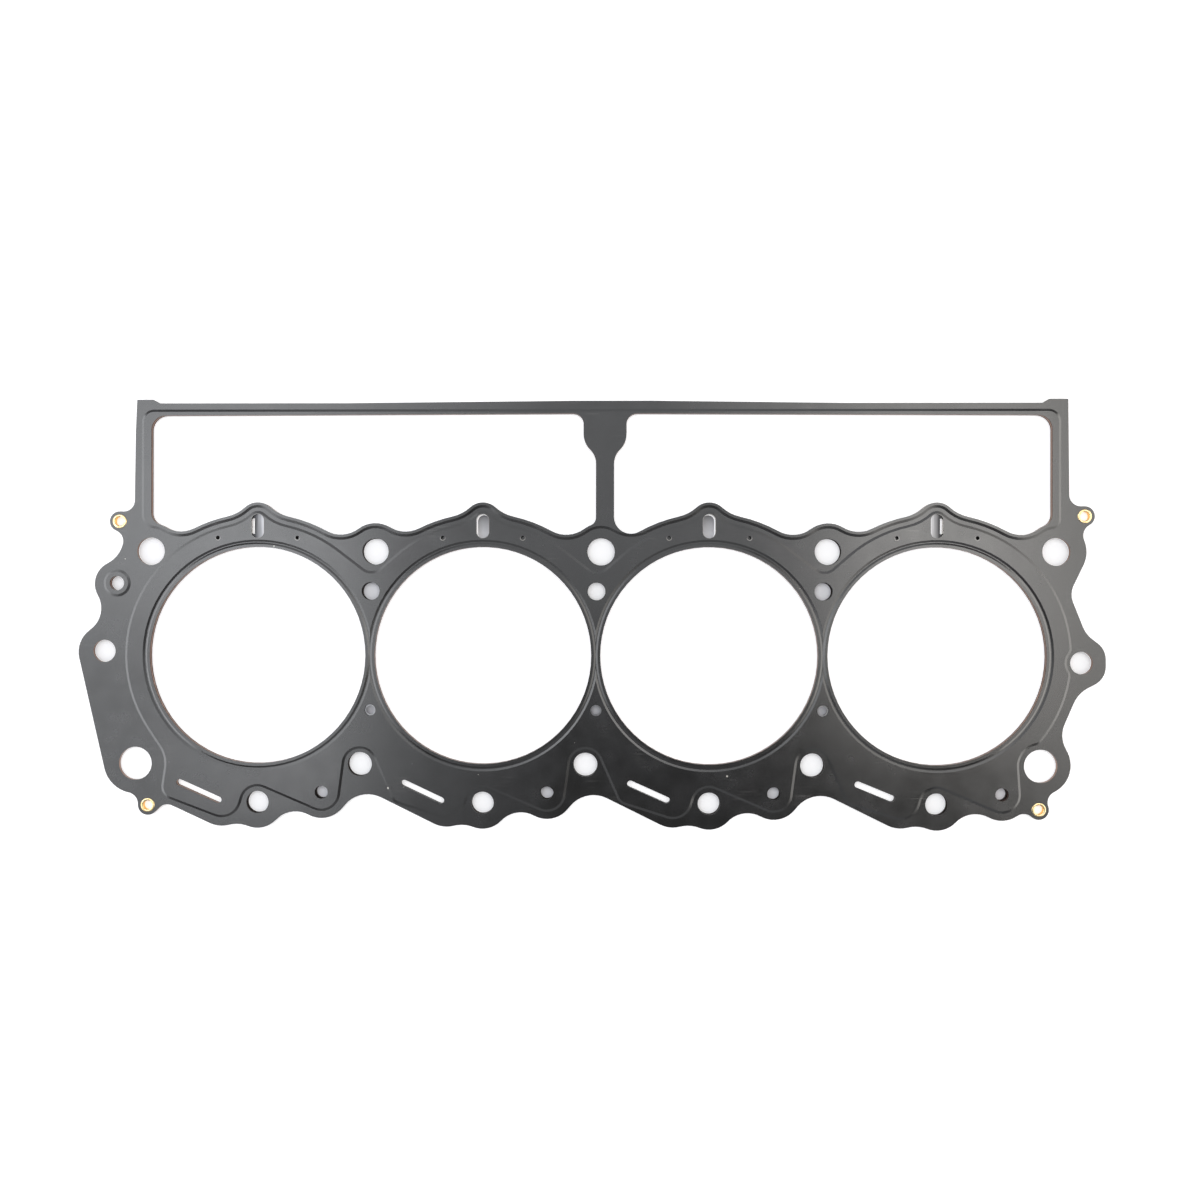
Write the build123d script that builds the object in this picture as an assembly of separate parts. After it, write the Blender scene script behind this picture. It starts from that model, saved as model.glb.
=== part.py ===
from build123d import *
from math import asin, atan2, cos, hypot, pi, sin, sqrt
import os

# Cylinder head gasket of three steel layers for one bank of four cylinders.
# X runs along the bank, +Y goes to the cam cover side, Z is up.
# The origin is the middle of the bore row, on the face that lies on the block.

# Sheet thicknesses and bead height
SHEET_T = 0.25
BEAD_H = 0.35
CORE_T = 0.85
CORE_Z = SHEET_T + BEAD_H
TOTAL_T = CORE_T + 2 * CORE_Z
SKIN = 0.04

# Bores, with a narrow bridge between neighbours
BORE_R = 48.0
BRIDGE_W = 4.0
PITCH = 2 * BORE_R + BRIDGE_W
BORE_X = [PITCH * (i - 1.5) for i in range(4)]
BRIDGE_X = [PITCH * (i - 1) for i in range(3)]

# Lines that touch the bores: over and under the row, and at its two ends
ABOVE, BELOW = BORE_R, -BORE_R
LEFT, RIGHT = BORE_X[0] - BORE_R, BORE_X[3] + BORE_R

# Bead round a bore, measured outwards from the bore edge
LIP_W = 1.2
BEAD_FALL_W = 0.8
BEAD_FLOOR_W = 0.3
BEAD_RISE_W = 0.9

# Half bead at the edge of a raised zone
SLOPE_W = 1.1

# Head bolt row between the bores and the windows
HEAD_BOLT_DX = 2.3
HEAD_BOLT_DY = -2.0
HEAD_BOLT_R = [6.15, 5.85, 6.15, 5.85, 6.15]
HEAD_BOLT_X = [PITCH * (i - 2) + HEAD_BOLT_DX for i in range(5)]
HEAD_BOLT_Y = ABOVE + HEAD_BOLT_DY

# Inner bolt and dowel row, outer bolts and side bolts
INNER_BOLT_DX = -4.5
INNER_BOLT_DY = -0.2
INNER_BOLT_R = 5.35
INNER_BOLT_X = [x + INNER_BOLT_DX for x in BRIDGE_X]
INNER_BOLT_Y = BELOW + INNER_BOLT_DY
DOWEL_DX = (-6.5, -2.5)
DOWEL_R = 7.3
DOWEL_X = [LEFT + DOWEL_DX[0], RIGHT + DOWEL_DX[1]]
DOWEL_Y = INNER_BOLT_Y
OUTER_BOLT_DY = -17.2
OUTER_BOLT_R = 4.95
OUTER_BOLT_Y = BELOW + OUTER_BOLT_DY
SIDE_BOLT_DX = (-20.4, 15.3)
SIDE_BOLT_Y = (1.7, -2.8)
SIDE_BOLT_R = 4.95
SIDE_BOLTS = [(LEFT + SIDE_BOLT_DX[0], SIDE_BOLT_Y[0]), (RIGHT + SIDE_BOLT_DX[1], SIDE_BOLT_Y[1])]

# Oil and coolant holes, measured from the bolt rows and the bores
OIL_DX = -14.75
OIL_DY = -14.15
OIL_HOLE_R = 3.2
OIL_PAD_R = 5.5
OIL_HOLE = (LEFT + OIL_DX, HEAD_BOLT_Y + OIL_DY)
COOLANT_DX = 0.3
COOLANT_DY = -17.6
COOLANT_R = 4.0
METERING_DX = 0.1
METERING_DY = 24.0
METERING_R = 2.45
METERING_CORE_R = 1.8
JET_DX = 28.5
JET_DY = -12.7
JET_Y = BELOW + JET_DY
JET_R = 2.9

# Slots and vents above each bore
SLOT_DY = 9.2
SLOT_Y = ABOVE + SLOT_DY
SLOT_W = 5.5
SLOT_L = 10.6
CORE_SLOT_W = 1.8
VENT_DX = 17.7
VENT_DY = 4.0
VENT_R = 0.9

# Slanted slots under the bores: start and ends of the centre line, from each bore's foot
RAKE_W = 2.9
RAKE_START = (-34.6, -8.5)
RAKE_ENDS = [(-17.3, -16.2), (-18.4, -16.1), (-18.7, -15.6), (-19.7, -14.6)]

# Hollow rivets on small tabs, measured from the ends of the row of bores
RIVET_SHIFTS = {
    "eyelet_rivet_upper_left": (-13.7, 11.3),
    "eyelet_rivet_upper_right": (16.7, 13.7),
    "eyelet_rivet_lower_left": (-0.9, -18.7),
    "eyelet_rivet_lower_right": (-3.3, -19.3),
}
RIVET_BORE_R = 2.0
RIVET_WALL = 0.25
RIVET_GAP = 0.05
RIVET_LIP_W = 0.85
RIVET_BEVEL = 0.35
RIVET_TUBE_R = RIVET_BORE_R + RIVET_WALL
RIVET_HOLE_R = RIVET_TUBE_R + RIVET_GAP
RIVET_FLANGE_R = RIVET_TUBE_R + RIVET_LIP_W
RIVET_CROWN_R = RIVET_FLANGE_R - RIVET_BEVEL
TAB_RIM_W = 1.3
TAB_R = RIVET_FLANGE_R + TAB_RIM_W
RIVETS = {
    name: (
        (LEFT if "left" in name else RIGHT) + dx,
        (ABOVE if "upper" in name else BELOW) + dy,
    )
    for name, (dx, dy) in RIVET_SHIFTS.items()
}

# Bars round the windows: land round a bore, columns at the ends, stem and spoon in the middle
LAND_W = 14.9
RING_R = BORE_R + LAND_W
SLOT_BUMP_DY = 2.2
SLOT_BUMP_R = 8.3
SLOT_BUMP_Y = SLOT_Y + SLOT_BUMP_DY
SLOT_FILLET_R = 17.6
BOLT_LOBE_R = 12.5
VALLEY_R = 13.4
COLUMN_DX = (0.2, -1.8)
COLUMN_X = (HEAD_BOLT_X[0] + COLUMN_DX[0], HEAD_BOLT_X[4] + COLUMN_DX[1])
COLUMN_FILLET_R = 5.5
STEM_X = (0.0, 8.0)
STEM_FILLET_R = 3.6
STEM_VALLEY_R = 7.5
WINDOW_RISE = 65.35
BAR_Y = ABOVE + WINDOW_RISE
SPOON_DROP = 15.35
SPOON_Y = BAR_Y - SPOON_DROP
SPOON_R = 9.5
SPOON_FILLET_R = 8.6
BAR_DROP = (7.05, 6.35)
BAR_LOW_Y = (BAR_Y - BAR_DROP[0], BAR_Y - BAR_DROP[1])
BAR_FILLET_R = 4.6
BAR_CORNER_R = 6.5

# Distances from the window edge to the two bead lines of its floor, and the outer frame line
STRIP_LINE_W = 1.7
ZONE_LINE_W = 4.3
FRAME_DROP = 4.95
FRAME_TOP_Y = BAR_Y - FRAME_DROP
FRAME_DX = (-3.8, 3.3)
FRAME_X = (COLUMN_X[0] + FRAME_DX[0], COLUMN_X[1] + FRAME_DX[1])
FRAME_CORNER_R = 5.0

# Lobes of the outer edge: shift from the hole that each one follows, and rim left round it
RAKE_LOBE = (-15.9, -15.2, 12.6)
BOLT_LOBE = (0, 0, OUTER_BOLT_R + 6.5)
JET_LOBE = (0, 0.4, JET_R + 9.0)
LOBE_FILLETS = (13.9, 12.1)
DOWEL_LOBES = [(0, 0.9, DOWEL_R + 6.9), (0, 0.4, DOWEL_R + 5.8)]
SIDE_LOBE = (0.5, -0.5, SIDE_BOLT_R + 7.15)
OIL_LOBE = (0.15, -0.35, OIL_HOLE_R + 7.0)
END_FILLETS = (13.2, 11.7)
HEAD_LOBE_R = (HEAD_BOLT_R[0] + 6.85, HEAD_BOLT_R[4] + 7.05)
TAB_FILLETS = (5.1, 5.3, 5.2, 5.2, 5.1)
EAR_LOBES = [(1.7, -1.6, SIDE_BOLT_R + 3.95), (1.7, 1.6, SIDE_BOLT_R + 3.95)]
BAR_RIGHT = [(7.0, 0, 0), (-1.3, 0, 0), (-4.2, -1.75, 0), (-90.5, -1.75, 0)]
BAR_MIDDLE = [(25.0, -0.7, 0), (-10.0, -0.7, 0)]
BAR_LEFT = [(87.5, -1.65, 0), (3.7, -1.65, 0), (0.7, 0, 0), (-6.5, 0, 0), (-7.1, -14.35, 0)]

# Notches that lie against a lobe: direction from it in degrees, radius and gap
JET_NOTCH = (-35.2, 13.3, 0.1)
FOOT_NOTCH = (-29.4, 5.2, 0.38)
DOWEL_NOTCH = (31.8, 11.9, 0.1)
UNDER_NOTCH = (-70.6, 13.8, 0.2)
OVER_NOTCH = (60.5, 12.8, 0.2)
HEAD_NOTCH = (-49.5, 9.3, 2.1)
COLUMN_NOTCHES = [(79.5, 5.0, 0.1), (100.0, 5.1, 0.1)]

# Raised zone: widths that its half bead leaves free round the holes, and its own lobes
DOWEL_FREE_W = (6.2, 2.7)
SIDE_FREE_W = 2.05
OUTER_FREE_W = 2.55
INNER_FREE_W = 2.05
JET_LAND_W = 4.9
ZONE_RAKE_R = 8.3
ZONE_START = (-37.0, -10.5, 5.3)
ZONE_CORNER = (-35.5, -12.5, 5.0)
ZONE_HEAD = (-1.7, -3.0, -6.3)
ZONE_NOOK_R = 4.0


def apart(a, b, from_a, from_b, side):
    """Point at the two distances from circles a and b, to the left (1) or right (-1) of a to b."""
    span = hypot(b[0] - a[0], b[1] - a[1])
    ux, uy = (b[0] - a[0]) / span, (b[1] - a[1]) / span
    along = (span**2 + from_a**2 - from_b**2) / (2 * span)
    off = side * sqrt(max(from_a**2 - along**2, 0))
    return a[0] + along * ux - off * uy, a[1] + along * uy + off * ux


def between(a, b, r):
    """Circle that rounds the corner between circles a and b, curved the other way than both."""
    bend = -1 if a[2] > 0 else 1
    x, y = apart(a, b, abs(a[2]) + r, abs(b[2]) + r, bend)
    return x, y, bend * r


def beside(lobe, x, r, way, up=1):
    """Circle of radius r over (1) or under (-1) a lobe, touching it and the upright line at x."""
    cx = x - way * r
    return cx, lobe[1] + up * sqrt((abs(lobe[2]) + r) ** 2 - (cx - lobe[0]) ** 2), r


def nook(ring, notch, r, side):
    """Rounded corner inside a ring, where a notch cuts into its left (1) or right (-1) side."""
    x, y = apart(ring, notch, ring[2] - r, abs(notch[2]) + r, side)
    return x, y, r


def near(point, shift):
    """Circle at a shift (dx, dy, r) from a point."""
    return point[0] + shift[0], point[1] + shift[1], shift[2]


def against(lobe, notch):
    """Hollow circle (direction, r, gap) that lies beside a lobe."""
    direction, r, gap = notch
    reach = abs(lobe[2]) + r + gap
    turn = direction * pi / 180
    return lobe[0] + reach * cos(turn), lobe[1] + reach * sin(turn), -r


def grown(stops, d):
    """The same outline moved outwards by d."""
    return [(x, y, r + d) for x, y, r in stops]


def touch(stop, heading):
    """Point of a circle where a counter-clockwise path has the heading."""
    x, y, r = stop
    return Vector(x + r * sin(heading), y - r * cos(heading))


def outline(stops):
    """Closed counter-clockwise wire along circles (x, y, r) joined by their common tangents.

    A positive r bulges outwards, a negative one inwards, and zero is a sharp corner.
    """
    count = len(stops)
    headings = []
    for i in range(count):
        (x0, y0, r0), (x1, y1, r1) = stops[i], stops[(i + 1) % count]
        lean = (r1 - r0) / hypot(x1 - x0, y1 - y0)
        headings.append(atan2(y1 - y0, x1 - x0) - asin(max(-1, min(1, lean))))
    leave = [touch(stops[i], headings[i]) for i in range(count)]
    reach = [touch(stops[i], headings[i - 1]) for i in range(count)]
    edges = []
    for i in range(count):
        r = stops[i][2]
        start = reach[i]
        if (start - leave[i - 1]).length < 1e-4:
            start = leave[i - 1]
        else:
            edges.append(Edge.make_line(leave[i - 1], start))
        turn = (headings[i] - headings[i - 1] + pi) % (2 * pi) - pi
        if r and turn * r < 0:
            turn += 2 * pi if r > 0 else -2 * pi
        if (leave[i] - start).length > 1e-4:
            middle = touch(stops[i], headings[i] - turn / 2)
            edges.append(Edge.make_three_point_arc(start, middle, leave[i]))
    return Wire(edges)


def raised(stops):
    """Raised zone whose half bead slopes down across the given line."""
    reach = SLOPE_W / 2
    dip = SLOPE_W * SKIN / BEAD_H
    foot = outline(grown(stops, reach + dip)).moved(Pos(0, 0, -SKIN))
    top = outline(grown(stops, -reach)).moved(Pos(0, 0, BEAD_H))
    return Solid.make_loft([foot, top], ruled=True)


def pin(x, y, r):
    """Round cutter through every layer."""
    return Pos(x, y, -1) * Cylinder(r, TOTAL_T + 2, align=(Align.CENTER, Align.CENTER, Align.MIN))


def slot(x0, y0, x1, y1, width):
    """Slotted cutter between two end centres, through every layer."""
    half = width / 2
    shape = Face(outline([(x0, y0, half), (x1, y1, half)]))
    return Pos(0, 0, -1) * extrude(shape, TOTAL_T + 2)


def floor(cylinders, d=0):
    """Window edge over the given cylinders from left to right, moved outwards by d."""
    stops = []
    for i in cylinders:
        ring = (BORE_X[i], 0, d - RING_R)
        bump = (BORE_X[i], SLOT_BUMP_Y, d - SLOT_BUMP_R)
        rise = between(ring, bump, SLOT_FILLET_R + d)
        fall = between(bump, ring, SLOT_FILLET_R + d)
        if stops:
            lobe = (HEAD_BOLT_X[i], HEAD_BOLT_Y, d - BOLT_LOBE_R)
            stops.append(between(stops[-1], lobe, VALLEY_R + d))
            stops.append(lobe)
            stops.append(between(lobe, ring, VALLEY_R + d))
        stops += [ring, rise, bump, fall, ring]
    return stops


def wall_foot(ring_x, bolt_x, wall_x, r, way, d=0):
    """Window edge from a ring over the bolt lobe to an upright wall, or back from it."""
    ring = (ring_x, 0, d - RING_R)
    lobe = (bolt_x, HEAD_BOLT_Y, d - BOLT_LOBE_R)
    if way > 0:
        return [between(ring, lobe, VALLEY_R + d), lobe, beside(lobe, wall_x, r, way)]
    return [beside(lobe, wall_x, r, way), lobe, between(lobe, ring, VALLEY_R + d)]


# Windows, counter-clockwise from their lower left corner
spoon = (sum(STEM_X) / 2, SPOON_Y, -SPOON_R)
spoon_out = SPOON_R + BAR_FILLET_R
left_window = wall_foot(BORE_X[0], HEAD_BOLT_X[0], COLUMN_X[0], COLUMN_FILLET_R, -1)
left_window += floor([0, 1])
left_window += wall_foot(BORE_X[1], HEAD_BOLT_X[2], STEM_X[0], STEM_FILLET_R, 1)
left_window += [
    beside(spoon, STEM_X[0], SPOON_FILLET_R, 1, -1),
    spoon,
    (spoon[0] - spoon_out, BAR_LOW_Y[1] - BAR_FILLET_R, BAR_FILLET_R),
    (COLUMN_X[0] + BAR_CORNER_R, BAR_LOW_Y[0] - BAR_CORNER_R, BAR_CORNER_R),
]
right_window = [beside((BORE_X[2], 0, -RING_R), STEM_X[1], STEM_VALLEY_R, -1)]
right_window += floor([2, 3])
right_window += wall_foot(BORE_X[3], HEAD_BOLT_X[4], COLUMN_X[1], COLUMN_FILLET_R, 1)
right_window += [
    (COLUMN_X[1] - BAR_CORNER_R, BAR_LOW_Y[0] - BAR_CORNER_R, BAR_CORNER_R),
    (spoon[0] + spoon_out, BAR_LOW_Y[1] - BAR_FILLET_R, BAR_FILLET_R),
    spoon,
    beside(spoon, STEM_X[1], SPOON_FILLET_R, -1, -1),
]

# Raised frame round both windows
frame = wall_foot(BORE_X[0], HEAD_BOLT_X[0], FRAME_X[0], COLUMN_FILLET_R, -1, STRIP_LINE_W)
frame += floor(range(4), STRIP_LINE_W)
frame += wall_foot(BORE_X[3], HEAD_BOLT_X[4], FRAME_X[1], STEM_FILLET_R, 1, STRIP_LINE_W)
frame += [
    (FRAME_X[1] - FRAME_CORNER_R, FRAME_TOP_Y - FRAME_CORNER_R, FRAME_CORNER_R),
    (FRAME_X[0] + FRAME_CORNER_R, FRAME_TOP_Y - FRAME_CORNER_R, FRAME_CORNER_R),
]

# Points that the lobes follow
feet = [(x, BELOW) for x in BORE_X]
outer_bolts = [(x, OUTER_BOLT_Y) for x in BORE_X]
jets = [(x + JET_DX, JET_Y) for x in BORE_X]
inner_bolts = [(x, INNER_BOLT_Y) for x in INNER_BOLT_X]
head_bolts = [(x, HEAD_BOLT_Y) for x in HEAD_BOLT_X]
dowels = [(x, DOWEL_Y) for x in DOWEL_X]
corners = [(x, BAR_Y) for x in COLUMN_X]

# Raised coolant zone, counter-clockwise from the left dowel
zone_rings = [(x, 0, RING_R - ZONE_LINE_W) for x in BORE_X]
last = zone_rings[3]
dowel_notch = (*dowels[1], -DOWEL_R - DOWEL_FREE_W[1])
side_notch = (*SIDE_BOLTS[1], -SIDE_BOLT_R - SIDE_FREE_W)
zone = [(*dowels[0], -DOWEL_R - DOWEL_FREE_W[0]), near(feet[0], ZONE_START)]
for i in range(4):
    zone.append((*near(feet[i], RAKE_LOBE)[:2], ZONE_RAKE_R))
    zone.append((*outer_bolts[i], -OUTER_BOLT_R - OUTER_FREE_W))
    zone.append((*jets[i], JET_R + JET_LAND_W))
    if i < 3:
        zone.append((*inner_bolts[i], -INNER_BOLT_R - INNER_FREE_W))
        zone.append(near(feet[i + 1], ZONE_CORNER))
zone += [dowel_notch, nook(last, dowel_notch, ZONE_NOOK_R, 1), last]
zone += [nook(last, side_notch, ZONE_NOOK_R, -1), side_notch]
zone += [nook(last, side_notch, ZONE_NOOK_R, 1)]
for i in reversed(range(4)):
    ring = zone_rings[i]
    bump = (BORE_X[i], SLOT_BUMP_Y, SLOT_BUMP_R - ZONE_LINE_W)
    rise = between(ring, bump, SLOT_FILLET_R + ZONE_LINE_W)
    fall = between(bump, ring, SLOT_FILLET_R + ZONE_LINE_W)
    zone += [ring, rise, bump, fall, ring]
    if i:
        zone.append(near(head_bolts[i], ZONE_HEAD))

# Outer edge, counter-clockwise from the lower left rivet tab
tab_ul = (*RIVETS["eyelet_rivet_upper_left"], TAB_R)
tab_ur = (*RIVETS["eyelet_rivet_upper_right"], TAB_R)
tab_ll = (*RIVETS["eyelet_rivet_lower_left"], TAB_R)
tab_lr = (*RIVETS["eyelet_rivet_lower_right"], TAB_R)
edge = [tab_ll, against(tab_ll, FOOT_NOTCH)]
for i in range(4):
    rake_lobe = near(feet[i], RAKE_LOBE)
    bolt_lobe = near(outer_bolts[i], BOLT_LOBE)
    jet_lobe = near(jets[i], JET_LOBE)
    edge += [rake_lobe, between(rake_lobe, bolt_lobe, LOBE_FILLETS[0]), bolt_lobe]
    edge += [between(bolt_lobe, jet_lobe, LOBE_FILLETS[1]), jet_lobe]
    if i < 3:
        edge.append(against(jet_lobe, JET_NOTCH))
dowel_lobe = near(dowels[1], DOWEL_LOBES[1])
edge += [between(jet_lobe, tab_lr, TAB_FILLETS[3]), tab_lr]
edge += [between(tab_lr, dowel_lobe, TAB_FILLETS[4]), dowel_lobe]
ear_lobes = [near(SIDE_BOLTS[1], lobe) for lobe in EAR_LOBES]
head_lobe = (*head_bolts[4], HEAD_LOBE_R[1])
edge += [against(dowel_lobe, DOWEL_NOTCH), against(ear_lobes[0], UNDER_NOTCH), *ear_lobes]
edge += [against(ear_lobes[1], OVER_NOTCH), against(head_lobe, HEAD_NOTCH), head_lobe]
edge += [between(head_lobe, tab_ur, TAB_FILLETS[1]), tab_ur]
edge += [against(tab_ur, COLUMN_NOTCHES[1])]
edge += [near(corners[1], shift) for shift in BAR_RIGHT]
edge += [near((0, BAR_Y), shift) for shift in BAR_MIDDLE]
edge += [near(corners[0], shift) for shift in BAR_LEFT]
head_lobe = (*head_bolts[0], HEAD_LOBE_R[0])
edge += [against(tab_ul, COLUMN_NOTCHES[0]), tab_ul]
edge += [between(tab_ul, head_lobe, TAB_FILLETS[0]), head_lobe]
oil_lobe = near(OIL_HOLE, OIL_LOBE)
side_lobe = near(SIDE_BOLTS[0], SIDE_LOBE)
dowel_lobe = near(dowels[0], DOWEL_LOBES[0])
edge += [between(head_lobe, oil_lobe, END_FILLETS[0]), oil_lobe]
edge += [between(oil_lobe, side_lobe, END_FILLETS[1]), side_lobe]
edge += [dowel_lobe, between(dowel_lobe, tab_ll, TAB_FILLETS[2])]

# Cutters through the layers
bores = [pin(x, 0, BORE_R) for x in BORE_X]
holes = [pin(*point, r) for point, r in zip(head_bolts, HEAD_BOLT_R)]
holes += [pin(*point, INNER_BOLT_R) for point in inner_bolts]
holes += [pin(*point, DOWEL_R) for point in dowels]
holes += [pin(*point, OUTER_BOLT_R) for point in outer_bolts]
holes += [pin(x, y, SIDE_BOLT_R) for x, y in SIDE_BOLTS]
holes += [pin(*OIL_HOLE, OIL_HOLE_R)]
holes += [pin(x + COOLANT_DX, HEAD_BOLT_Y + COOLANT_DY, COOLANT_R) for x in BRIDGE_X]
holes += [pin(*point, JET_R) for point in jets]
holes += [pin(x, y, RIVET_HOLE_R) for x, y in RIVETS.values()]
for (x, y), (dx, dy) in zip(feet, RAKE_ENDS):
    holes.append(slot(x + RAKE_START[0], y + RAKE_START[1], x + dx, y + dy, RAKE_W))
vents = [
    Pos(x + side * VENT_DX, ABOVE + VENT_DY, -1) * extrude(RegularPolygon(VENT_R, 8), TOTAL_T + 2)
    for x in BORE_X
    for side in (-1, 1)
]
half = (SLOT_L - SLOT_W) / 2
slots = [slot(x, SLOT_Y - half, x, SLOT_Y + half, SLOT_W) for x in BORE_X]
windows = [
    Pos(0, 0, -1) * extrude(Face(outline(stops)), TOTAL_T + 2)
    for stops in (left_window, right_window)
]

# Bead grooves round the bores; neighbouring ones meet half way along the bridge
grooves = []
for i, x in enumerate(BORE_X):
    lip = BORE_R + LIP_W
    floor_in = lip + BEAD_FALL_W
    floor_out = floor_in + BEAD_FLOOR_W
    out = floor_out + BEAD_RISE_W
    dip = SKIN / BEAD_H
    profile = Polyline(
        (lip - dip * BEAD_FALL_W, 0, BEAD_H + SKIN),
        (floor_in + dip * BEAD_FALL_W, 0, -SKIN),
        (floor_out - dip * BEAD_RISE_W, 0, -SKIN),
        (out + dip * BEAD_RISE_W, 0, BEAD_H + SKIN),
        close=True,
    )
    ring = Pos(x, 0, 0) * revolve(make_face(profile), Axis.Z)
    left = PITCH / 2 if i > 0 else PITCH
    right = PITCH / 2 if i < 3 else PITCH
    side = Pos(x + (right - left) / 2, 0, 0) * Box(left + right, 2 * PITCH, 4)
    grooves.append(ring & side)

# Everything that stands up from the flat sheet
pad_reach = SLOPE_W / 2
pad_dip = SLOPE_W * SKIN / BEAD_H
pad = Pos(*OIL_HOLE, -SKIN) * Cone(
    OIL_PAD_R + pad_reach + pad_dip,
    OIL_PAD_R - pad_reach,
    BEAD_H + SKIN,
    align=(Align.CENTER, Align.CENTER, Align.MIN),
)
relief = raised(zone) - grooves

# Bead layers: one pressing, turned over for the lower side, which stays closed under the vents
blank = Face(outline(edge))
pressing = extrude(blank, SHEET_T)
for shape in (relief, raised(frame), pad):
    pressing = pressing + Pos(0, 0, SHEET_T) * shape
for shape in (relief, raised(frame), pad):
    pressing = pressing - shape
meters = [(x + METERING_DX, INNER_BOLT_Y + METERING_DY) for x in BRIDGE_X]
metering = [pin(*point, METERING_R) for point in meters]
pressing = Pos(0, 0, CORE_Z + CORE_T) * (pressing - (bores + holes + slots + windows + metering))
upper = pressing - vents
lower = mirror(pressing, Plane.XY.offset(TOTAL_T / 2))

# Core layer: narrower metering holes, and narrower slots over the first and the last bore
metering = [pin(*point, METERING_CORE_R) for point in meters]
for i, side in ((0, -1), (3, 1)):
    x = BORE_X[i] + side * (SLOT_W - CORE_SLOT_W) / 2
    slots[i] = slot(x, SLOT_Y - half, x, SLOT_Y + half, CORE_SLOT_W)
core = Pos(0, 0, CORE_Z) * extrude(blank, CORE_T)
core = core - (bores + holes + slots + vents + windows + metering)

# Hollow rivet, its flanges on the low tabs of both bead layers
top_z = CORE_Z + CORE_T + SHEET_T
low_z = TOTAL_T - top_z
rivet_profile = Polyline(
    (RIVET_BORE_R, 0, low_z - SHEET_T),
    (RIVET_CROWN_R, 0, low_z - SHEET_T),
    (RIVET_FLANGE_R, 0, low_z),
    (RIVET_TUBE_R, 0, low_z),
    (RIVET_TUBE_R, 0, top_z),
    (RIVET_FLANGE_R, 0, top_z),
    (RIVET_CROWN_R, 0, top_z + SHEET_T),
    (RIVET_BORE_R, 0, top_z + SHEET_T),
    close=True,
)
rivet = revolve(make_face(rivet_profile), Axis.Z)

os.makedirs("parts", exist_ok=True)
nodes = {"upper_bead_layer": upper, "core_layer": core, "lower_bead_layer": lower}
for name, (x, y) in RIVETS.items():
    nodes[name] = Pos(x, y, 0) * rivet
for name, shape in nodes.items():
    solids = shape.solids()
    print(name, len(solids), round(sum(s.volume for s in solids), 1))
    export_step(solids[0] if len(solids) == 1 else Compound(solids), f"parts/{name}.step")
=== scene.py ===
import math

import bmesh
import bpy
from mathutils import Matrix, Vector


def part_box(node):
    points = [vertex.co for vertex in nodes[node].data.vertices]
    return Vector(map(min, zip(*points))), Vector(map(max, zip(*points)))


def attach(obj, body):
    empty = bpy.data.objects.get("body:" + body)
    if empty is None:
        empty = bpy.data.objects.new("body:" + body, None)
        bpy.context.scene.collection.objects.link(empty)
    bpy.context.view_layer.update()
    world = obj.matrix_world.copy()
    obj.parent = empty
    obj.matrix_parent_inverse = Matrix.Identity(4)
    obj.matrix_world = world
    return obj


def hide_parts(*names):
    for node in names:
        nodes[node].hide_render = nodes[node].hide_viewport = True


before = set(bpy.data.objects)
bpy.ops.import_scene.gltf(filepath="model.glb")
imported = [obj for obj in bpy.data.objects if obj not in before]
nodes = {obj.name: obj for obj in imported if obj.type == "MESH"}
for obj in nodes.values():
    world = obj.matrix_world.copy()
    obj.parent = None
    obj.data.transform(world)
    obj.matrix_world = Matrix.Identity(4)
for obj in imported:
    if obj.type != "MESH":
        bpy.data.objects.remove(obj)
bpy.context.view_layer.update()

# Coated bead layers: spring steel with a satin film of black fluoro-rubber on both faces. The
# film is sprayed and baked before the sheet is embossed and punched, so it is faintly mottled
# and scuffed, with pale dust on it, and it ends at a dull, bare punched edge.


def srgb(code):
    """Linear colour of an sRGB hex code."""
    parts = [int(code[i : i + 2], 16) / 255 for i in (1, 3, 5)]
    return [c / 12.92 if c <= 0.04045 else ((c + 0.055) / 1.055) ** 2.4 for c in parts] + [1]


def feed(tree, node, inputs):
    """Give inputs, by name or number, a value, a socket, or a node's first live output."""
    for name, value in inputs.items():
        live = [socket for socket in node.inputs if socket.enabled and name == socket.name]
        target = live[0] if live else node.inputs[name]
        if isinstance(value, bpy.types.Node):
            value = next(socket for socket in value.outputs if socket.enabled)
        if isinstance(value, bpy.types.NodeSocket):
            tree.links.new(value, target)
        else:
            target.default_value = value


def add(tree, kind, inputs=None, stops=(), **settings):
    """New node with its settings, what feeds its inputs, and the stops of a colour ramp."""
    made = tree.nodes.new(kind)
    for name, value in settings.items():
        setattr(made, name, value)
    for i, (position, code) in enumerate(stops):
        made.color_ramp.elements[i].position = position
        made.color_ramp.elements[i].color = srgb(code)
    feed(tree, made, inputs or {})
    return made


def finish(name):
    """New material; returns it with its node tree and its shader."""
    made = bpy.data.materials.new(name)
    made.use_nodes = True
    return made, made.node_tree, made.node_tree.nodes["Principled BSDF"]


# Baked rubber film: near black, with broad satin reflections. It dries in clouds 45 mm across
# and blotches of 8 mm, a shade apart.
coat, tree, shader = finish("rubber_coating")
place = add(tree, "ShaderNodeTexCoord").outputs
cloud = add(
    tree, "ShaderNodeTexNoise", {"Vector": place["Object"], "Scale": 22.0, "Detail": 3.0}
)
blotch = add(
    tree, "ShaderNodeTexNoise", {"Vector": place["Object"], "Scale": 130.0, "Detail": 4.0}
)
mottle = add(tree, "ShaderNodeMath", {0: cloud, 1: blotch}, operation="ADD")
mottle = add(tree, "ShaderNodeMath", {0: mottle, 1: 0.5}, operation="MULTIPLY")
colour = add(
    tree,
    "ShaderNodeValToRGB",
    {"Fac": mottle},
    stops=((0.35, "#0f0f0f"), (0.65, "#18181a")),
)

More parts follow.
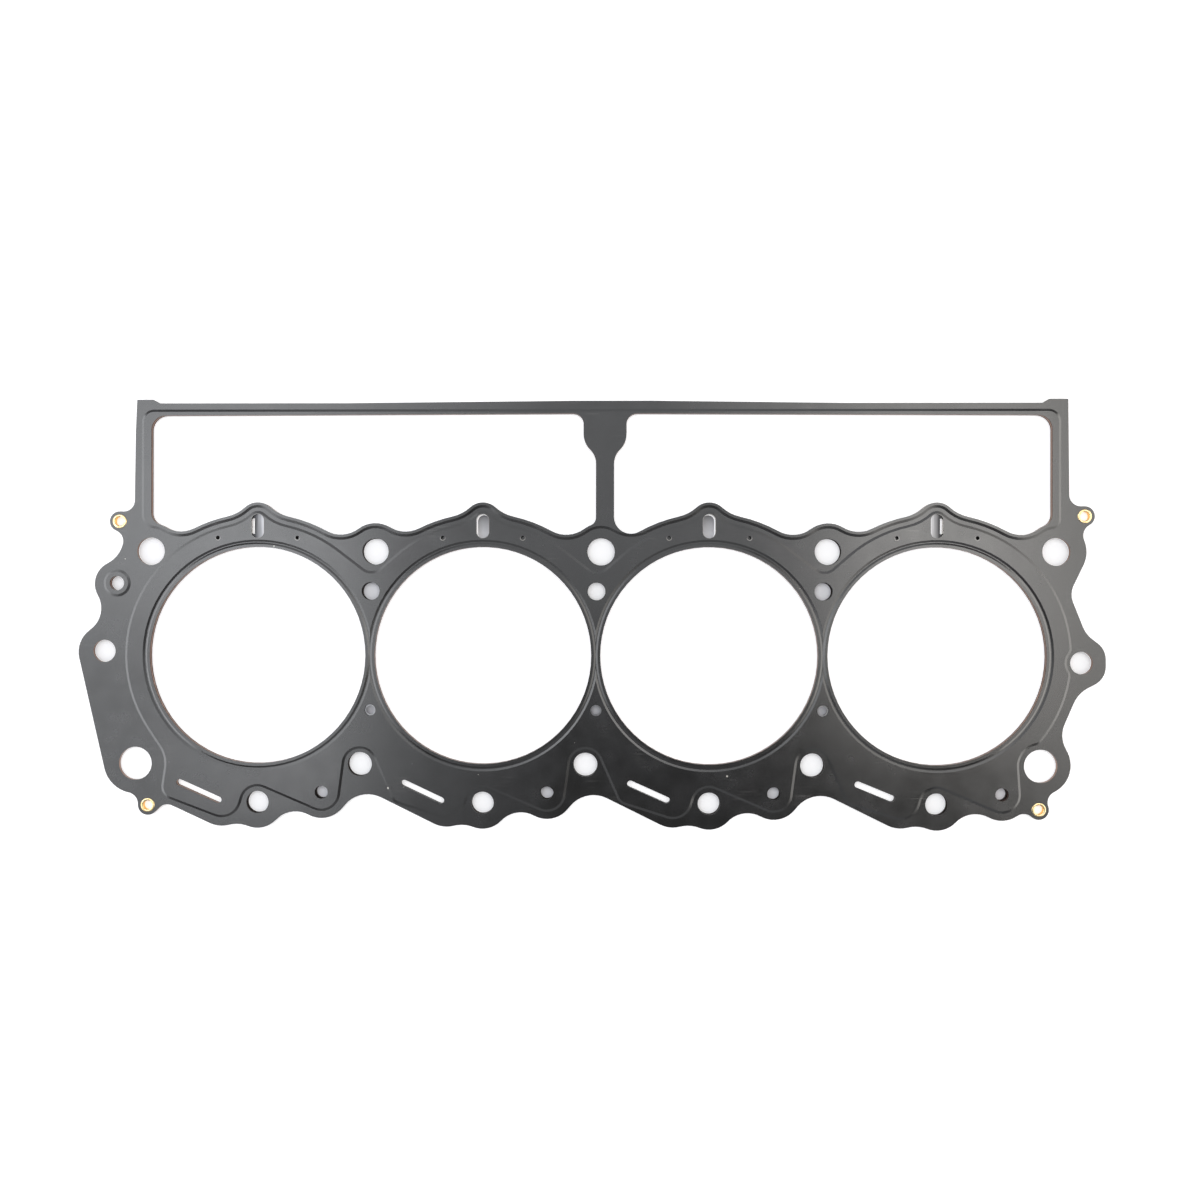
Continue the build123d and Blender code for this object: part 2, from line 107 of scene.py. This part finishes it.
# Scuffs where sheets slid over each other: patches 17 mm across of broken streaks, 11 mm long
# and 0.7 mm wide. Real ones are finer and are drawn this coarse so that they show.
along = add(
    tree,
    "ShaderNodeMapping",
    {"Vector": place["Object"], "Rotation": (0, 0, 0.6), "Scale": (90.0, 1500.0, 1500.0)},
)
streak = add(tree, "ShaderNodeTexNoise", {"Vector": along, "Scale": 1.0, "Detail": 2.0})
patch = add(
    tree, "ShaderNodeTexNoise", {"Vector": place["Object"], "Scale": 60.0, "Detail": 1.0}
)
rubbed = add(tree, "ShaderNodeMath", {0: streak, 1: patch}, operation="MULTIPLY")
scuff = add(
    tree,
    "ShaderNodeMapRange",
    {"Value": rubbed, "From Min": 0.37, "From Max": 0.55, "To Max": 0.3},
)
colour = add(
    tree,
    "ShaderNodeMix",
    {"Factor": scuff, "A": colour, "B": srgb("#6b6a68")},
    data_type="RGBA",
)

# Dust: pale specks up to 1 mm across, in one of three cells of about 8 mm
cells = add(tree, "ShaderNodeTexVoronoi", {"Vector": place["Object"], "Scale": 120.0}).outputs
draw = add(tree, "ShaderNodeSeparateColor", {"Color": cells["Color"]}).outputs["Red"]
reach = add(
    tree,
    "ShaderNodeMapRange",
    {"Value": draw, "From Min": 0.66, "From Max": 1.0, "To Max": 0.06},
)
speck = add(tree, "ShaderNodeMath", {0: cells["Distance"], 1: reach}, operation="LESS_THAN")
colour = add(
    tree,
    "ShaderNodeMix",
    {"Factor": speck, "A": colour, "B": srgb("#c2bfb7")},
    data_type="RGBA",
)

# Openings, in metres: the four bores repeat at one pitch and mirror about their own middles, so
# one slot and one vent are folded onto all of them
BORE_PITCH = 0.1
BORE_R = 0.0480
SLOT_AT = 0.0572
SLOT_REACH = 0.00255  # from a slot's middle to the centre of its round end
SLOT_R = 0.00275
VENT_AT = (0.0177, 0.0520)
VENT_R = 0.0009
SLOT_WALL = SLOT_R + 0.0001
VENT_WALL = VENT_R + 0.00003
STEEP = 0.4  # a wall's normal, one long, rises or falls by less than this
# Small holes lie beyond the bores' own walls, this side of the windows and between the ends
HOLES_FROM_BORE = BORE_R + 0.0008
HOLES_TO_Y = 0.062
HOLES_TO_X = 0.16


def openings(tree, place):
    """Place of a point, its distances from the nearest slot's middle line and vent's centre,
    and marks of 1, else 0, on upright walls and where the small holes are."""
    where = add(tree, "ShaderNodeSeparateXYZ", {"Vector": place["Object"]}).outputs
    across = add(tree, "ShaderNodeMath", {0: where["X"]}, operation="ABSOLUTE")
    fold = across
    for operation, second in (
        ("MODULO", BORE_PITCH),
        ("SUBTRACT", BORE_PITCH / 2),
        ("ABSOLUTE", 0),
    ):
        fold = add(tree, "ShaderNodeMath", {0: fold, 1: second}, operation=operation)
    rise = where["Y"]
    for operation, second in (
        ("SUBTRACT", SLOT_AT),
        ("ABSOLUTE", 0),
        ("SUBTRACT", SLOT_REACH),
        ("MAXIMUM", 0),
    ):
        rise = add(tree, "ShaderNodeMath", {0: rise, 1: second}, operation=operation)
    spot = add(tree, "ShaderNodeCombineXYZ", {"X": fold, "Y": rise})
    slot = add(tree, "ShaderNodeVectorMath", {0: spot}, operation="LENGTH")
    spot = add(tree, "ShaderNodeCombineXYZ", {"X": fold, "Y": where["Y"]})
    vent = add(tree, "ShaderNodeVectorMath", {0: spot, 1: (*VENT_AT, 0)}, operation="DISTANCE")
    bore = add(tree, "ShaderNodeVectorMath", {0: spot}, operation="LENGTH")
    holes = 1
    for value, operation, limit in (
        (bore, "GREATER_THAN", HOLES_FROM_BORE),
        (where["Y"], "LESS_THAN", HOLES_TO_Y),
        (across, "LESS_THAN", HOLES_TO_X),
    ):
        side = add(tree, "ShaderNodeMath", {0: value, 1: limit}, operation=operation)
        holes = add(tree, "ShaderNodeMath", {0: side, 1: holes}, operation="MULTIPLY")
    upright = add(tree, "ShaderNodeSeparateXYZ", {"Vector": place["Normal"]}).outputs["Z"]
    upright = add(tree, "ShaderNodeMath", {0: upright}, operation="ABSOLUTE")
    upright = add(tree, "ShaderNodeMath", {0: upright, 1: STEEP}, operation="LESS_THAN")
    return where, slot, vent, upright, holes


# Burr that the punch leaves, part bare steel and part painted highlight: a bright line round a
# slot, and one painted on the near side of a vent only, where the light falls
SLOT_BURR = 0.00015
VENT_BURR = 0.00045
NEAR_SIDE = 0.0008  # half the width over which the vent's line fades towards its far side
BURR_SHINE = 0.85
where, slot_far, vent_far, upright, holes = openings(tree, place)
slot_burr = add(
    tree,
    "ShaderNodeMapRange",
    {
        "Value": slot_far,
        "From Min": SLOT_R,
        "From Max": SLOT_R + SLOT_BURR,
        "To Min": 1.0,
        "To Max": 0.0,
    },
)
vent_burr = add(
    tree,
    "ShaderNodeMapRange",
    {
        "Value": vent_far,
        "From Min": VENT_R,
        "From Max": VENT_R + VENT_BURR,
        "To Min": 1.0,
        "To Max": 0.0,
    },
)
near = add(
    tree,
    "ShaderNodeMapRange",
    {
        "Value": where["Y"],
        "From Min": VENT_AT[1] + NEAR_SIDE,
        "From Max": VENT_AT[1] - NEAR_SIDE,
    },
)
vent_burr = add(tree, "ShaderNodeMath", {0: vent_burr, 1: near}, operation="MULTIPLY")
burr = add(tree, "ShaderNodeMath", {0: slot_burr, 1: vent_burr}, operation="MAXIMUM")
# Painted highlight: the burr lines are lightened in colour, on a vent only on its near side
burr_and_highlight = add(tree, "ShaderNodeMath", {0: burr, 1: BURR_SHINE}, operation="MULTIPLY")
colour = add(
    tree,
    "ShaderNodeMix",
    {"Factor": burr_and_highlight, "A": colour, "B": srgb("#c2beb9")},
    data_type="RGBA",
)

# Punched edges: the film stops there and the steel is bare and dull. The walls of the small
# holes get painted shade, near black, and those of the slots a painted highlight, near white.
# The grain of 0.4 mm stands for the film's and for the shear marks, both too fine to show at
# their real size.
grain = add(
    tree, "ShaderNodeTexNoise", {"Vector": place["Object"], "Scale": 2600.0, "Detail": 2.0}
)
edge = add(
    tree,
    "ShaderNodeValToRGB",
    {"Fac": grain},
    stops=((0.35, "#5f4f48"), (0.65, "#8a7369")),
)
in_slot = add(tree, "ShaderNodeMath", {0: slot_far, 1: SLOT_WALL}, operation="LESS_THAN")
# Painted shade darkens the walls of the small holes, and a painted highlight whitens the slots'
for mark, code in ((holes, "#2a2625"), (in_slot, "#f4f1ee")):
    edge = add(
        tree, "ShaderNodeMix", {"Factor": mark, "A": edge, "B": srgb(code)}, data_type="RGBA"
    )
colour = add(
    tree, "ShaderNodeMix", {"Factor": upright, "A": colour, "B": edge}, data_type="RGBA"
)

# A vent is deep for its width: its wall, and the core that it shows, are painted black as
# shade. Only the upper layer has vents, above the height given here.
VENT_FLOOR = 0.0002
inside = add(tree, "ShaderNodeMath", {0: vent_far, 1: VENT_WALL}, operation="LESS_THAN")
above = add(tree, "ShaderNodeMath", {0: where["Z"], 1: VENT_FLOOR}, operation="GREATER_THAN")
inside = add(tree, "ShaderNodeMath", {0: inside, 1: above}, operation="MULTIPLY")
colour = add(
    tree,
    "ShaderNodeMix",
    {"Factor": inside, "A": colour, "B": srgb("#020202")},
    data_type="RGBA",
)
bare = add(
    tree, "ShaderNodeMath", {0: upright, 1: inside}, operation="SUBTRACT", use_clamp=True
)
gloss = add(
    tree,
    "ShaderNodeMapRange",
    {"Value": mottle, "From Min": 0.35, "From Max": 0.65, "To Min": 0.21, "To Max": 0.29},
)
raised = add(tree, "ShaderNodeBump", {"Height": burr, "Strength": 0.6, "Distance": 0.00006})
relief = add(
    tree,
    "ShaderNodeBump",
    {"Height": grain, "Strength": 0.12, "Distance": 0.00002, "Normal": raised},
)
feed(
    tree,
    shader,
    {
        "Base Color": colour,
        "Metallic": bare,
        "Roughness": gloss,
        "IOR": 1.62,
        "Specular IOR Level": 1.0,
        "Normal": relief,
    },
)

for name in ("upper_bead_layer", "lower_bead_layer"):
    for slot in nodes[name].material_slots:
        slot.material = coat

# Core layer: one bare, cold-rolled stainless sheet, held between the bead layers by the rivets
# and seen in the holes and at the cut edges. Its rolled faces are dull grey, its punched edges
# darker, with painted shade on the walls of the small holes and a painted highlight in the
# slots.

# Rolled steel: a soft metallic grey with streaks across the gasket, 17 mm long and 0.7 mm
# apart. Real rolling marks are far finer and wouldn't show.
steel, tree, shader = finish("core_steel")
place = add(tree, "ShaderNodeTexCoord").outputs
stretch = add(
    tree, "ShaderNodeMapping", {"Vector": place["Object"], "Scale": (1500.0, 60.0, 1500.0)}
)
rolled = add(tree, "ShaderNodeTexNoise", {"Vector": stretch, "Scale": 1.0, "Detail": 3.0})
where, slot_far, vent_far, upright, holes = openings(tree, place)

# Painted shade beside the narrow slits over the end bores: the face fades from dark to pale
SLIT_DARK = 0.1512
SLIT_PALE = 0.1475
across = add(tree, "ShaderNodeMath", {0: where["X"]}, operation="ABSOLUTE")
across = add(
    tree, "ShaderNodeMapRange", {"Value": across, "From Min": SLIT_DARK, "From Max": SLIT_PALE}
)
slit_shade = add(
    tree,
    "ShaderNodeValToRGB",
    {"Fac": across},
    stops=((0.0, "#48484a"), (1.0, "#bdbdc0")),
)
grained = add(
    tree,
    "ShaderNodeValToRGB",
    {"Fac": rolled},
    stops=((0.3, "#c8c8c8"), (0.7, "#ffffff")),
)
face = add(
    tree,
    "ShaderNodeMix",
    {"Factor": 1.0, "A": slit_shade, "B": grained},
    data_type="RGBA",
    blend_type="MULTIPLY",
)

# Its punched walls, marked with more slack because they aren't flush with the bead layers'.
# The walls of the small holes get painted shade and those of the slots a painted highlight.
CORE_SLOT_WALL = SLOT_R + 0.0005
edge = add(
    tree,
    "ShaderNodeValToRGB",
    {"Fac": rolled},
    stops=((0.3, "#7a665c"), (0.7, "#a88d80")),
)
in_slot = add(
    tree, "ShaderNodeMath", {0: slot_far, 1: CORE_SLOT_WALL}, operation="LESS_THAN"
)
for mark, code in ((holes, "#3a3533"), (in_slot, "#f2eeea")):
    edge = add(
        tree, "ShaderNodeMix", {"Factor": mark, "A": edge, "B": srgb(code)}, data_type="RGBA"
    )
colour = add(
    tree, "ShaderNodeMix", {"Factor": upright, "A": face, "B": edge}, data_type="RGBA"
)
# Painted shade: the core seen down a vent is near black
inside = add(tree, "ShaderNodeMath", {0: vent_far, 1: VENT_WALL}, operation="LESS_THAN")
colour = add(
    tree,
    "ShaderNodeMix",
    {"Factor": inside, "A": colour, "B": srgb("#020202")},
    data_type="RGBA",
)
rough = add(tree, "ShaderNodeMapRange", {"Value": rolled, "To Min": 0.28, "To Max": 0.42})
relief = add(tree, "ShaderNodeBump", {"Height": rolled, "Strength": 0.15, "Distance": 0.00002})
feed(
    tree,
    shader,
    {"Base Color": colour, "Metallic": 1.0, "Roughness": rough, "Normal": relief},
)
for slot in nodes["core_layer"].material_slots:
    slot.material = steel

# Eyelet rivets: drawn brass tubes, their mouths rolled over onto the sheets at both ends.
# Each piece is the lathed section of the closed eyelet, with the round lip that the rolling
# leaves and that the plain solid only chamfers.

# Drawn brass: a bright pale yellow on the crowns, and on the steep faces inside the bore a
# deeper yellow, a painted reflection of the brass in itself. The handling marks are 1 mm
# blotches of gloss.
brass, tree, shader = finish("rivet_brass")
place = add(tree, "ShaderNodeTexCoord").outputs
worn = add(
    tree, "ShaderNodeTexNoise", {"Vector": place["Object"], "Scale": 900.0, "Detail": 3.0}
)
bright = add(
    tree,
    "ShaderNodeValToRGB",
    {"Fac": worn},
    stops=((0.3, "#ebcb86"), (0.7, "#ffefc4")),
)
steep_reflection = add(tree, "ShaderNodeSeparateXYZ", {"Vector": place["Normal"]}).outputs["Z"]
steep_reflection = add(tree, "ShaderNodeMath", {0: steep_reflection}, operation="ABSOLUTE")
steep_reflection = add(
    tree, "ShaderNodeMapRange", {"Value": steep_reflection, "From Min": 0.75, "From Max": 0.35}
)
colour = add(
    tree,
    "ShaderNodeMix",
    {"Factor": steep_reflection, "A": bright, "B": srgb("#f0bd6c")},
    data_type="RGBA",
)
rough = add(tree, "ShaderNodeMapRange", {"Value": worn, "To Min": 0.16, "To Max": 0.32})
relief = add(tree, "ShaderNodeBump", {"Height": worn, "Strength": 0.1, "Distance": 0.00003})
feed(
    tree,
    shader,
    {"Base Color": colour, "Metallic": 1.0, "Roughness": rough, "Normal": relief},
)

RIVET_BORE = 0.0020
RIVET_TUBE = 0.00225
MOUTH_DEPTH = 0.00022  # how far down the bore its rounding starts
SHOULDER_IN = 0.00006
SHOULDER_DOWN = 0.00008
CROWN_OUT = 0.00012  # from the tube's wall to the top of the head
LIP_ROUND = 0.00050
LIP_HEIGHT = 0.00025
LIP_STEPS = 8
LATHE_STEPS = 56


def make(name, work, material):
    """Object in the scene from a finished bmesh, with one material."""
    mesh = bpy.data.meshes.new(name)
    work.to_mesh(mesh)
    work.free()
    mesh.materials.append(material)
    made = bpy.data.objects.new(name, mesh)
    bpy.context.scene.collection.objects.link(made)
    return made


for side in ("upper_left", "upper_right", "lower_left", "lower_right"):
    low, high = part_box(f"eyelet_rivet_{side}")
    middle = Vector(((low[0] + high[0]) / 2, (low[1] + high[1]) / 2, 0))
    flange = (high[0] - low[0]) / 2
    top = high[2]
    head = [
        (RIVET_BORE, top - MOUTH_DEPTH),
        (RIVET_BORE + SHOULDER_IN, top - SHOULDER_DOWN),
        (RIVET_TUBE + CROWN_OUT, top),
    ]
    for step in range(LIP_STEPS + 1):
        turn = math.pi / 2 * (1 - step / LIP_STEPS)
        out = flange - LIP_ROUND * (1 - math.cos(turn))
        head.append((out, top - LIP_HEIGHT * (1 - math.sin(turn))))
    head.append((RIVET_TUBE, top - LIP_HEIGHT))
    section = head + [(r, low[2] + top - z) for r, z in reversed(head)]

    work = bmesh.new()
    corners = [work.verts.new(middle + Vector((r, 0, z))) for r, z in section]
    sides = [work.edges.new((corners[i - 1], corners[i])) for i in range(len(corners))]
    bmesh.ops.spin(
        work,
        geom=corners + sides,
        cent=middle,
        axis=(0, 0, 1),
        angle=math.tau,
        steps=LATHE_STEPS,
        use_merge=True,
    )
    bmesh.ops.recalc_face_normals(work, faces=work.faces)
    for facet in work.faces:
        facet.smooth = True
    rivet = make(f"rivet_{side}", work, brass)
    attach(rivet, "root")
    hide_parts(f"eyelet_rivet_{side}")

# Floor: a sheet of white paper under the gasket, overexposed in the open. The holes show it in
# shade, which is painted: flat sheets of grey paper lie under them as painted shade, and rings
# of darker paper as painted shadow at their walls.


def paper(name, code, lift=0.0):
    """Matt white stock; the lift brightens it to the eye and in mirrors, and lights nothing."""
    made, tree, shader = finish(name)
    feed(tree, shader, {"Base Color": srgb(code), "Roughness": 0.9, "Specular IOR Level": 0.1})
    if lift:
        path = add(tree, "ShaderNodeLightPath").outputs
        seen = path["Is Camera Ray"]
        for ray in ("Is Glossy Ray", "Is Transmission Ray"):
            seen = add(tree, "ShaderNodeMath", {0: seen, 1: path[ray]}, operation="MAXIMUM")
        seen = add(tree, "ShaderNodeMath", {0: seen, 1: lift}, operation="MULTIPLY")
        glow = add(tree, "ShaderNodeEmission", {"Strength": seen})
        both = add(tree, "ShaderNodeAddShader", {0: shader, 1: glow})
        feed(tree, tree.nodes["Material Output"], {"Surface": both})
    return made


FLOOR_HALF = 3.0
FLOOR_AT = -0.00005
RINGS_AT = -0.00004
SHADES_AT = -0.00003
work = bmesh.new()
bmesh.ops.create_grid(
    work,
    x_segments=1,
    y_segments=1,
    size=FLOOR_HALF,
    matrix=Matrix.Translation((0, 0, FLOOR_AT)),
)
make("paper", work, paper("paper_floor", "#f4f4f6", lift=0.5))

# Painted shade under the small holes and the middle slots: it darkens towards the windows, in
# metres
GREY_FROM = 0.051
GREY_TO = 0.062
graded_shade = paper("painted_shade_under_holes", "#e8e8ec")
tree = graded_shade.node_tree
deeper = add(tree, "ShaderNodeTexCoord").outputs["Object"]
deeper = add(tree, "ShaderNodeSeparateXYZ", {"Vector": deeper}).outputs["Y"]
deeper = add(
    tree, "ShaderNodeMapRange", {"Value": deeper, "From Min": GREY_FROM, "From Max": GREY_TO}
)
shade = add(
    tree,
    "ShaderNodeValToRGB",
    {"Fac": deeper},
    stops=((0.0, "#e8e8ec"), (1.0, "#8c8c8f")),
)
feed(tree, tree.nodes["Principled BSDF"], {"Base Color": shade})

# Centre and radius of each hole. The oil hole at the left end and the middle coolant hole get
# the same light painted shade as the bolt holes, and lie with them.
bolt_spots = [(0.0023 + x, 0.0460, 0.00615) for x in (-0.2, 0, 0.2)]
bolt_spots += [(0.0023 + x, 0.0460, 0.00585) for x in (-0.1, 0.1)]
bolt_spots += [(-0.0045 + x, -0.0482, 0.00535) for x in (-0.1, 0, 0.1)]
bolt_spots += [(x, -0.0652, 0.00495) for x in (-0.15, -0.05, 0.05, 0.15)]
bolt_spots += [(-0.2184, 0.0017, 0.00495), (0.2133, -0.0028, 0.00495)]
bolt_spots += [(-0.21275, 0.03185, 0.0032), (0.0003, 0.0284, 0.0040)]
small_spots = [(x, 0.0284, 0.0040) for x in (-0.0997, 0.1003)]
small_spots += [(x, -0.0607, 0.0029) for x in (-0.1215, -0.0215, 0.0785, 0.1785)]
metering_spots = [(x, -0.0242, 0.00245) for x in (-0.0999, 0.0001, 0.1001)]
slot_spots = [(x, SLOT_AT - 0.0003, SLOT_R) for x in (-0.04970, 0.04970)]
end_slot_spots = [(x, SLOT_AT, SLOT_R) for x in (-0.14930, 0.14930)]

# Between the ends each round piece also drifts, by a share of its distance, towards the point
# that the eye is over, and bares a crescent of the ring of painted shadow at the outer wall
ENDS_FROM = 0.19
EYE_OVER = (0.00185, 0.0246)
RING_OUT = 0.0008
SET_IN = -0.0001
CIRCLE_STEPS = 48
SAME = 0.00001  # corners nearer to a slot's middle than this stay there
round_spots = [
    spot for spot in bolt_spots + small_spots + metering_spots if abs(spot[0]) < ENDS_FROM
]
# Each piece is painted shade: a grey or dark sheet where the paper under a hole is in shade
for name, sheet, spots, level, grow, drift, stretch in (
    ("paper_shadow_rings", paper("paper_in_shadow", "#4a4442"),
     round_spots, RINGS_AT, RING_OUT, 0, 0),
    ("painted_shade_under_bolt_holes", paper("painted_shade_under_bolt_holes", "#f4f4f6", lift=0.2),
     bolt_spots, SHADES_AT, SET_IN, 0.002, 0),
    ("painted_shade_under_small_holes", graded_shade,
     small_spots, SHADES_AT, SET_IN, 0.003, 0),
    ("painted_shade_under_metering_holes", paper("painted_shade_under_metering_holes", "#cfcfd4"),
     metering_spots, SHADES_AT, SET_IN, 0.003, 0),
    ("painted_shade_under_slots", graded_shade,
     slot_spots, SHADES_AT, 0, 0, SLOT_REACH),
    ("painted_shade_under_end_slots", paper("painted_shade_under_end_slots", "#5c5c5e"),
     end_slot_spots, SHADES_AT, 0, 0, SLOT_REACH),
):
    work = bmesh.new()
    for x, y, radius in spots:
        disc = bmesh.ops.create_circle(
            work, cap_ends=True, segments=CIRCLE_STEPS, radius=radius + grow
        )["verts"]
        for far in (1, -1):
            half = [corner for corner in disc if corner.co.y * far > SAME]
            bmesh.ops.translate(work, vec=(0, far * stretch, 0), verts=half)
        move = drift if abs(x) < ENDS_FROM else 0
        spot = (x - move * (x - EYE_OVER[0]), y - move * (y - EYE_OVER[1]), level)
        bmesh.ops.translate(work, vec=spot, verts=disc)
    make(name, work, sheet)

# Camera: straight above the gasket, a touch to the right, on a wide lens close to the sheet
SENSOR = 36
FIELD = 0.5311  # metres of the sheet from side to side of the frame
DISTANCE = 0.380
target = Vector((*EYE_OVER, 0.001))
camera_data = bpy.data.cameras.new("camera")
camera_data.sensor_width = SENSOR
camera_data.lens = SENSOR * DISTANCE / FIELD
camera = bpy.data.objects.new("camera", camera_data)
camera.rotation_euler = (0.00167, 0.01097, 0.00145)
camera.location = target + camera.rotation_euler.to_matrix() @ Vector((0, 0, DISTANCE))
bpy.context.scene.collection.objects.link(camera)
bpy.context.scene.camera = camera

# Studio light: bright panels to the left and the right with nearer strips inside them, a
# weaker panel from overhead to the far side, and the weakest over the near side. The satin
# film is therefore darkest under the middle bores.


def softbox(name, centre, width, height, radiance, tint, tilt=0):
    """Panel given by the radiance of its face, which looks down, or is tilted by degrees."""
    data = bpy.data.lights.new(name, "AREA")
    data.shape = "RECTANGLE"
    data.size, data.size_y = width, height
    data.energy = math.pi * width * height * radiance
    data.color = tint
    lamp = bpy.data.objects.new(name, data)
    lamp.location = centre
    lamp.rotation_euler = (0, math.radians(tilt), 0)
    bpy.context.scene.collection.objects.link(lamp)


COOL = (0.95, 0.97, 1.0)
WARM = (1.0, 0.97, 0.925)
softbox("left_panel", (-1.11, 0.45, 0.9), 0.90, 0.90, 1.75, COOL)
softbox("left_near_panel", (-1.17, -0.315, 0.9), 0.78, 0.63, 1.75, COOL)
softbox("right_panel", (1.11, 0.135, 0.9), 0.90, 1.53, 1.35, WARM)
softbox("left_strip", (-0.50, -0.01, 0.86), 0.30, 0.62, 1.85, COOL)
softbox("left_near_strip", (-0.25, -0.19, 0.86), 0.22, 0.28, 0.35, COOL)
softbox("right_strip", (0.48, 0.06, 0.86), 0.28, 0.46, 2.1, WARM)
softbox("far_panel", (0, 0.725, 0.9), 1.32, 1.55, 0.65, COOL)
softbox("left_far_strip", (-0.40, 0.37, 0.86), 0.50, 0.18, 1.1, COOL)
softbox("right_far_strip", (0.40, 0.37, 0.86), 0.50, 0.18, 1.1, WARM)
softbox("near_panel", (0, -0.95, 0.9), 1.60, 0.90, 0.35, COOL)
softbox("left_wall", (-1.60, -0.20, 0.5), 0.8, 2.20, 2.5, COOL, tilt=-90)
softbox("right_wall", (1.60, -0.20, 0.5), 0.8, 2.20, 2.5, WARM, tilt=90)
world = bpy.data.worlds.new("studio")
bpy.context.scene.world = world
world.use_nodes = True
feed(
    world.node_tree,
    world.node_tree.nodes["Background"],
    {"Color": srgb("#ffffff"), "Strength": 0.10},
)
bpy.context.scene.view_settings.view_transform = "Standard"
